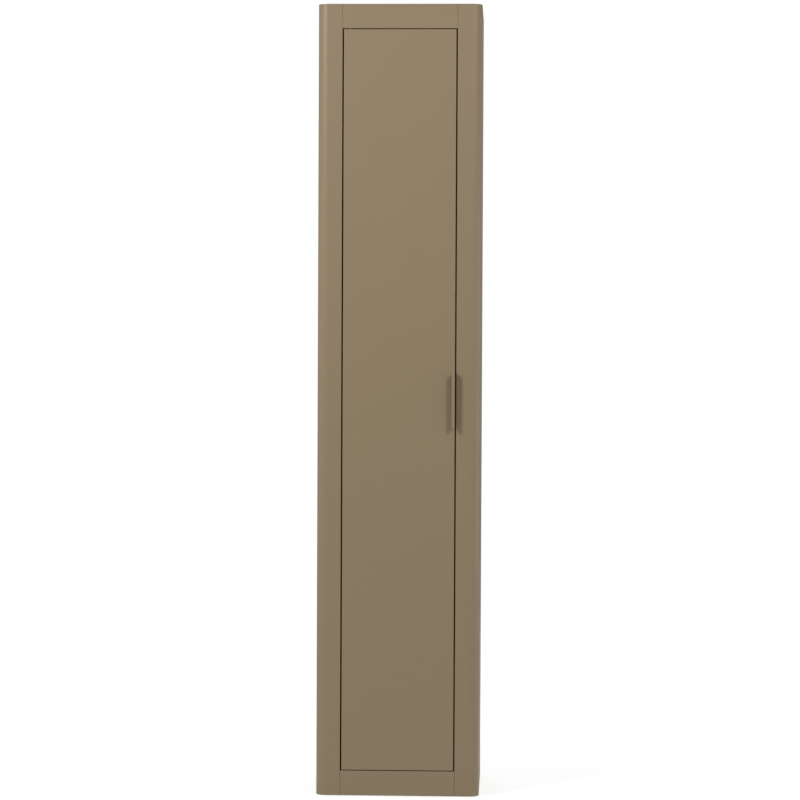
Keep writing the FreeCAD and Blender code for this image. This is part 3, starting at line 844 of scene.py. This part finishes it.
def loose_parts(mesh: BMesh) -> list[list[Vector]]:
    """Sorts the corner points of a mesh into its separate solids.

    Args:
        mesh: The mesh.

    Returns:
        One list of points for each solid.
    """
    left = dict.fromkeys(mesh.verts)
    parts = []
    while left:
        reached = [left.popitem()[0]]
        points = []
        while reached:
            corner = reached.pop()
            points.append(corner.co.copy())
            for edge in corner.link_edges:
                other = edge.other_vert(corner)
                if other in left:
                    del left[other]
                    reached.append(other)
        parts.append(points)
    return parts


def welded(name: str) -> BMesh:
    """Copies a CAD node's mesh and merges its corners.

    Args:
        name: The node.

    Returns:
        The merged copy.
    """
    mesh = bmesh.new()
    mesh.from_mesh(frame["nodes"][name].data)
    bmesh.ops.remove_doubles(mesh, verts=mesh.verts, dist=WELD)
    return mesh


def limits(points: Iterable[Vector]) -> tuple[Vector, Vector]:
    """The lowest and the highest corner round some points."""
    rows = list(zip(*points))
    return Vector(map(min, rows)), Vector(map(max, rows))


def merge_into(target: BMesh, extra: BMesh) -> None:
    """Moves a mesh into another one and frees it.

    Args:
        target: The mesh that grows.
        extra: The mesh that goes into it.
    """
    carrier = bpy.data.meshes.new("carrier")
    extra.to_mesh(carrier)
    extra.free()
    target.from_mesh(carrier)
    bpy.data.meshes.remove(carrier)


def stand_in(node: str, ending: str, mesh: BMesh, palette: Palette, *more: Look) -> None:
    """Makes the piece that stands for a CAD node, from a mesh that is already in place.

    Args:
        node: The node.
        ending: What the piece's name adds to the node's.
        mesh: The piece's mesh, which this frees.
        palette: The materials.
        more: The looks of the piece's further material slots.
    """
    name, body, look = node + ending, body_of(node), slot_of(node)
    data = bpy.data.meshes.new(name)
    mesh.to_mesh(data)
    mesh.free()
    for polygon in data.polygons:
        polygon.use_smooth = True
    data.set_sharp_from_angle(angle=SMOOTH_BELOW)
    piece = bpy.data.objects.new(name, data)
    flat = piece.modifiers.new("flat_faces", "WEIGHTED_NORMAL")
    flat.keep_sharp = True
    bpy.context.scene.collection.objects.link(piece)
    palette.dress(piece, look, *more)
    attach(piece, body)
    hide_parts(node)
    log.info("%s: %d faces on %s", name, len(data.polygons), body)


# -------- fittings


@dataclass(frozen=True)
class Seat:
    """Where a fastener sits: the middle of its outer face, the way it runs inwards, and its length."""

    face: Vector
    inward: Vector
    length: float

    def matrix(self) -> Matrix:
        """The transform that takes +Z at the origin to this seat."""
        turn = Vector((0.0, 0.0, 1.0)).rotation_difference(self.inward)
        return Matrix.Translation(self.face) @ turn.to_matrix().to_4x4()


def seats_of(name: str, axis: int | None = None) -> list[Seat]:
    """Reads the seats of a node's fasteners off its solids.

    Args:
        name: The CAD node.
        axis: 0, 1 or 2 for X, Y or Z, or None where each solid is longest along its own axis.

    Returns:
        One seat for each solid. Its outer face is the end with the wider rim.
    """
    found = []
    for points in loose_parts(welded(name)):
        low, high = limits(points)
        size = high - low
        along = axis if axis is not None else max(range(3), key=lambda index: size[index])
        middle = (low + high) / 2
        rims = []
        for limit in (low[along], high[along]):
            rim = [point for point in points if abs(point[along] - limit) < LEVEL]
            level = middle.copy()
            level[along] = limit
            rims.append(max((point - level).length for point in rim))
        outer_low = rims[0] > rims[1]
        face = middle.copy()
        face[along] = low[along] if outer_low else high[along]
        inward = Vector((0.0, 0.0, 0.0))
        inward[along] = 1.0 if outer_low else -1.0
        found.append(Seat(face, inward, size[along]))
    return found


@dataclass
class WoodScrews:
    """Countersunk wood screws with a cross recess and a thread."""

    palette: Palette
    head_radius: float = 3.0 * MM
    shank_radius: float = 1.4 * MM
    core_radius: float = 1.0 * MM
    head_height: float = 1.6 * MM
    plain: float = 2.6 * MM
    pitch: float = 1.5 * MM
    valley: tuple[float, float] = (0.35, 0.65)  # where the thread's valley lies, in parts of the pitch
    point: float = 3.0 * MM
    recess_arm: float = 1.55 * MM
    recess_waist: float = 0.32 * MM
    recess_depth: float = 1.3 * MM

    def turned(self, length: float) -> BMesh:
        """One screw, with its head at the origin and its point towards +Z.

        Args:
            length: From the head's face to the point.

        Returns:
            Its mesh.
        """
        neck = self.head_height + self.plain
        shank = self.shank_radius
        profile = [(self.head_radius, 0.0), (shank, self.head_height), (shank, neck)]
        turns = int((length - self.point - neck) / self.pitch)
        for turn in range(turns):
            start = neck + turn * self.pitch
            profile += [(self.core_radius, start + part * self.pitch) for part in self.valley]
            profile.append((shank, start + self.pitch))
        profile.append((self.core_radius, length - self.point))
        profile.append((0.0, length))
        mesh = lathe(profile, CROSS_CORNERS)
        sink_cross(mesh, close_top(mesh), self.recess_arm, self.recess_waist, self.recess_depth)
        return mesh

    def build(self, node: str) -> None:
        """Makes the screws of one node.

        Args:
            node: The CAD node that they stand for.
        """
        group = bmesh.new()
        for seat in seats_of(node):
            screw = self.turned(seat.length)
            screw.transform(seat.matrix())
            merge_into(group, screw)
        stand_in(node, "_cut", group, self.palette)


@dataclass
class CamFittings:
    """The cast discs that draw a shelf to the sides, with their driver recess."""

    palette: Palette
    ease: float = 0.5 * MM
    recess_arm: float = 4.2 * MM
    recess_waist: float = 0.9 * MM
    recess_depth: float = 3.0 * MM

    def build(self, node: str) -> None:
        """Makes the discs.

        Args:
            node: The CAD node that they stand for.
        """
        group = bmesh.new()
        top = CAD_BOX[1].z
        for points in loose_parts(welded(node)):
            low, high = limits(points)
            size = high - low
            radius = size.x / 2
            upward = abs(high.z - top) < FLUSH
            face = (low + high) / 2
            face.z = high.z if upward else low.z
            seat = Seat(face, Vector((0.0, 0.0, -1.0 if upward else 1.0)), size.z)
            profile = [
                (radius - self.ease, 0.0),
                (radius, self.ease),
                (radius, seat.length - self.ease),
                (radius - self.ease, seat.length),
                (0.0, seat.length),
            ]
            disc = lathe(profile, CROSS_CORNERS)
            sink_cross(disc, close_top(disc), self.recess_arm, self.recess_waist, self.recess_depth)
            disc.transform(seat.matrix())
            merge_into(group, disc)
        stand_in(node, "_cast", group, self.palette)


@dataclass
class BroomPegs:
    """Turned pegs: a stud in the rail, a flange, a stem with a cove at its foot, and a round knob."""

    palette: Palette
    stud_radius: float = 3.0 * MM
    stud_length: float = 13.0 * MM
    flange_thick: float = 3.0 * MM
    flange_round: float = 1.2 * MM
    stem_radius: float = 5.0 * MM
    cove: float = 4.0 * MM
    knob_radius: float = 8.0 * MM
    steps: int = 48
    round_points: int = 5
    cove_points: int = 7
    knob_points: int = 16

    def arc(self, centre: Spot, radius: float, start: float, end: float, count: int) -> list[Spot]:
        """Points on an arc of the profile.

        Args:
            centre: Its centre.
            radius: Its radius.
            start: The angle it starts at, in degrees from the outward direction.
            end: The angle it ends at.
            count: How many points.

        Returns:
            The points in order.
        """
        angles = [math.radians(start + (end - start) * step / (count - 1)) for step in range(count)]
        across, up = centre
        return [(across + radius * math.cos(angle), up + radius * math.sin(angle)) for angle in angles]

    def profile(self, flange_radius: float, length: float) -> list[Spot]:
        """The whole profile, from the end of the stud to the end of the knob.

        Args:
            flange_radius: The flange's radius.
            length: From the face of the rail to the end of the knob.

        Returns:
            Its points, with heights above the rail's face.
        """
        edge = self.flange_round
        knob_height = length - self.knob_radius
        neck = -math.degrees(math.acos(self.stem_radius / self.knob_radius))
        cove_centre = (self.stem_radius + self.cove, self.flange_thick + self.cove)
        return [
            (0.0, -self.stud_length),
            (self.stud_radius, -self.stud_length),
            (self.stud_radius, 0.0),
            (flange_radius, 0.0),
            *self.arc((flange_radius - edge, self.flange_thick - edge), edge, 0, 90, self.round_points),
            *self.arc(cove_centre, self.cove, 270, 180, self.cove_points),
            *self.arc((0.0, knob_height), self.knob_radius, neck, 90, self.knob_points)[:-1],
            (0.0, length),
        ]

    def build(self, node: str) -> None:
        """Makes one peg.

        Args:
            node: The CAD node that it stands for.
        """
        low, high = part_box(node)
        middle = (low + high) / 2
        face = Vector((middle.x, high.y - self.stud_length, middle.z))
        peg = lathe(self.profile((high.z - low.z) / 2, face.y - low.y), self.steps)
        bmesh.ops.recalc_face_normals(peg, faces=peg.faces)
        peg.transform(Seat(face, Vector((0.0, -1.0, 0.0)), 0.0).matrix())
        stand_in(node, "_turned", peg, self.palette)


@dataclass
class CatchMagnets:
    """Catch magnets: a dark ferrite block between two steel pole plates that stand proud of it."""

    palette: Palette
    plate: float = 1.3 * MM
    sunk: float = 0.5 * MM
    ease: float = 0.15 * MM

    def build(self, node: str) -> None:
        """Makes the magnets.

        Args:
            node: The CAD node that they stand for.
        """
        group = bmesh.new()
        for points in loose_parts(welded(node)):
            low, high = limits(points)
            for near, far in ((low.x, low.x + self.plate), (high.x - self.plate, high.x)):
                plate_low, plate_high = Vector((near, low.y, low.z)), Vector((far, high.y, high.z))
                add_slab(group, plate_low, plate_high, self.ease, 1)
            core_low = Vector((low.x + self.plate, low.y + self.sunk, low.z + self.sunk))
            core_high = Vector((high.x - self.plate, high.y, high.z - self.sunk))
            add_slab(group, core_low, core_high, self.ease, 0)
        stand_in(node, "_layered", group, self.palette, Look.zinc)


@dataclass
class EasedBoards:
    """Boards and small fittings whose sharp edges are taken off as sanding or tumbling leaves them."""

    palette: Palette
    widths: dict[str, float]  # the width of the eased edges, for each node
    sharp: float = math.radians(60)  # edges that turn by more than this are eased
    shortest: float = 6.0  # unless they are shorter than this many widths
    flat: float = math.radians(0.5)  # faces that turn by less than this become one

    def build(self, node: str) -> None:
        """Makes one eased board.

        Args:
            node: The CAD node that it stands for.
        """
        width = self.widths[node]
        mesh = welded(node)
        bmesh.ops.dissolve_limit(
            mesh, angle_limit=self.flat, verts=mesh.verts, edges=mesh.edges, delimit={"NORMAL"}
        )
        edges = [
            edge
            for edge in mesh.edges
            if len(edge.link_faces) == 2
            and edge.calc_face_angle() > self.sharp
            and edge.calc_length() > self.shortest * width
        ]
        ease_edges(mesh, edges, width)
        stand_in(node, "_eased", mesh, self.palette)


# -------- light, floor and camera


@dataclass(frozen=True)
class Softbox:
    """A rectangular lamp that faces the cupboard."""

    name: str
    azimuth: float  # degrees from straight in front, positive to the right
    distance: float  # over the floor, in metres
    height: float
    size: tuple[float, float]
    watts: float
    aim: float = 1.1  # the height above the origin that it faces
    glints: bool = True  # whether it shows in gloss

    def hang(self) -> None:
        """Puts the lamp in place."""
        turn = math.radians(self.azimuth)
        spot = Vector((math.sin(turn) * self.distance, -math.cos(turn) * self.distance, self.height))
        lamp = bpy.data.lights.new(self.name, "AREA")
        lamp.shape = "RECTANGLE"
        lamp.size, lamp.size_y = self.size
        lamp.energy = self.watts
        holder = bpy.data.objects.new(self.name, lamp)
        holder.location = spot
        holder.rotation_mode = "QUATERNION"
        holder.rotation_quaternion = (Vector((0.0, 0.0, self.aim)) - spot).to_track_quat("-Z", "Y")
        holder.visible_camera = False
        holder.visible_glossy = self.glints
        bpy.context.scene.collection.objects.link(holder)


@dataclass(frozen=True)
class Viewpoint:
    """The camera: where it stands, and how it is turned."""

    place: tuple[float, float, float] = (0.2921, -7.6063, 1.2533)
    yaw: float = 2.2275
    pitch: float = -1.3832
    roll: float = 0.2499
    lens: float = 123.81
    sensor: float = 36.0
    far: float = 200.0  # how far it sees

    def make(self) -> None:
        """Makes the camera the scene's own."""
        data = bpy.data.cameras.new("camera")
        data.lens = self.lens
        data.sensor_width = self.sensor
        data.clip_end = self.far
        camera = bpy.data.objects.new("camera", data)
        turn = (
            Matrix.Rotation(math.radians(self.yaw), 4, "Z")
            @ Matrix.Rotation(math.radians(90 + self.pitch), 4, "X")
            @ Matrix.Rotation(math.radians(self.roll), 4, "Z")
        )
        camera.matrix_world = Matrix.Translation(self.place) @ turn
        bpy.context.scene.collection.objects.link(camera)
        bpy.context.scene.camera = camera


@dataclass
class Studio:
    """The plain pale room round the cupboard."""

    floor_side: float = 80.0
    floor_rough: float = 0.9
    bounce: tuple[float, float] = (0.62, 0.33)  # the floor's tone as it throws light back, near and far
    seen: tuple[float, float] = (0.30, 0.0)  # its tone to the eye, near the cupboard and far from it
    glow: tuple[float, float] = (0.75, 1.02)  # how much it shines to the eye, near and far
    fade: tuple[float, float] = (0.6, 2.4)  # where near ends and far begins, in metres
    world_light: float = 0.15  # how strongly the surround lights the cupboard
    in_gloss: float = 0.25  # the share of the room's whiteness that shows in gloss
    lamps: tuple[Softbox, ...] = (
        Softbox("left_softbox", -43.0, 4.0, 3.4, size=(0.88, 1.0), watts=154.0, aim=0.3),
        Softbox("right_softbox", 39.0, 4.0, 3.75, size=(0.97, 1.0), watts=108.0, aim=0.3),
        Softbox("back_fill", 180.0, 4.0, 2.4, size=(3.0, 2.4), watts=130.0, glints=False),
        Softbox("left_fill", -88.0, 3.6, 1.5, size=(4.0, 2.6), watts=25.0),
        Softbox("right_fill", 88.0, 3.6, 1.0, size=(4.0, 2.0), watts=41.0),
    )

    def direct(self, graph: Graph) -> NodeSocket:
        """A mask of the rays that show the room itself: to the camera, in gloss and through glass.

        Args:
            graph: The graph of the world or of the floor.

        Returns:
            1 for such rays, less for those in gloss, and 0 for the rest.
        """
        path = graph.add("ShaderNodeLightPath").outputs
        glossy = graph.maths("MULTIPLY", path["Is Glossy Ray"], self.in_gloss)
        seen = graph.maths("MAXIMUM", path["Is Camera Ray"], path["Is Transmission Ray"])
        return graph.maths("MAXIMUM", seen, glossy)

    def build_world(self) -> None:
        """A white surround that lights the cupboard more softly than it looks."""
        world = bpy.data.worlds.new("surround")
        bpy.context.scene.world = world
        world.use_nodes = True
        graph = Graph(world.node_tree)
        sky = world.node_tree.nodes["Background"]
        sky.inputs["Color"].default_value = (1.0, 1.0, 1.0, 1.0)
        strength = graph.spread(self.direct(graph), self.world_light, 1.0)
        graph.feed(strength, sky.inputs["Strength"])

    def build_floor(self) -> None:
        """A white floor that keeps the cupboard's shadow."""
        mesh = bmesh.new()
        bmesh.ops.create_grid(mesh, x_segments=1, y_segments=1, size=self.floor_side / 2)
        data = bpy.data.meshes.new("studio_floor")
        mesh.to_mesh(data)
        mesh.free()
        floor = bpy.data.objects.new("studio_floor", data)
        bpy.context.scene.collection.objects.link(floor)
        data.materials.append(self.floor_material())

    def floor_material(self) -> Material:
        """Makes the floor's material, which shows the shadow nearby and is plain white further off.

        Returns:
            The material.
        """
        made = bpy.data.materials.new("studio_floor")
        made.use_nodes = True
        graph = Graph(made.node_tree)
        shader = made.node_tree.nodes["Principled BSDF"]
        mask = self.direct(graph)
        place = graph.add("ShaderNodeTexCoord").outputs["Object"]
        reach = graph.add("ShaderNodeVectorMath", operation="LENGTH", vector=place).outputs["Value"]
        fade = graph.eased(reach, *self.fade)
        glow = graph.spread(fade, *self.glow)
        tone = graph.add("ShaderNodeMix", data_type="FLOAT")
        graph.feed(mask, tone.inputs[0])
        graph.feed(graph.spread(fade, *self.bounce), tone.inputs[2])
        graph.feed(graph.spread(fade, *self.seen), tone.inputs[3])
        shade = tone.outputs[0]
        grey = graph.add("ShaderNodeCombineColor", red=shade, green=shade, blue=shade)
        canvas = Canvas(graph, shader, place)
        canvas.draw("Base Color", grey.outputs[0])
        canvas.draw("Roughness", self.floor_rough)
        canvas.draw("Specular IOR Level", 0.0)
        canvas.draw("Emission Color", (1.0, 1.0, 1.0, 1.0))
        canvas.draw("Emission Strength", graph.maths("MULTIPLY", mask, glow))
        return made

    def build(self) -> None:
        """Builds the room and its lamps."""
        self.build_world()
        self.build_floor()
        for lamp in self.lamps:
            lamp.hang()
        bpy.context.scene.view_settings.view_transform = "Standard"


# -------- the whole cupboard


@dataclass
class BroomCupboard:
    """The whole cupboard, sub-assembly by sub-assembly."""

    palette: Palette
    frame_nodes: tuple[str, ...] = ("left_post", "right_post", "top_rail", "bottom_rail")
    screw_nodes: tuple[str, ...] = (
        "frame_leaf_screws", "door_leaf_screws", "pull_screws", "stop_screws", "catch_screws",
        "strike_screws", "back_screws",
    )
    peg_nodes: tuple[str, ...] = ("broom_peg_1", "broom_peg_2", "broom_peg_3")
    board_ease: float = 0.5 * MM
    fitting_ease: float = 0.3 * MM
    board_nodes: tuple[str, ...] = (
        "left_side_panel", "right_side_panel", "top_panel", "bottom_panel", "back_panel",
        "hanging_rail", "peg_rail", "plinth_rail", "fixed_shelf", "adjustable_shelf", "stop_strip",
    )
    fitting_nodes: tuple[str, ...] = ("shelf_supports", "lower_catch", "upper_catch")

    def build(self) -> None:
        """Builds every piece, and dresses the solids that stay."""
        for name in frame["nodes"]:
            self.palette.dress_node(name)
        for name in self.frame_nodes:
            self.palette.dress(frame["nodes"][name], Look.painted_frame)
        screws = WoodScrews(self.palette)
        for node in self.screw_nodes:
            screws.build(node)
        CamFittings(self.palette).build("cam_discs")
        pegs = BroomPegs(self.palette)
        for node in self.peg_nodes:
            pegs.build(node)
        CatchMagnets(self.palette).build("catch_magnets")
        widths = {node: self.board_ease for node in self.board_nodes}
        widths |= {node: self.fitting_ease for node in self.fitting_nodes}
        boards = EasedBoards(self.palette, widths)
        for node in widths:
            boards.build(node)


def main() -> None:
    """Builds the camera, the room and the cupboard."""
    logging.basicConfig(level=logging.INFO, format="%(name)s: %(message)s")
    Viewpoint().make()
    Studio().build()
    BroomCupboard(Palette()).build()


if __name__ == "__main__":
    main()
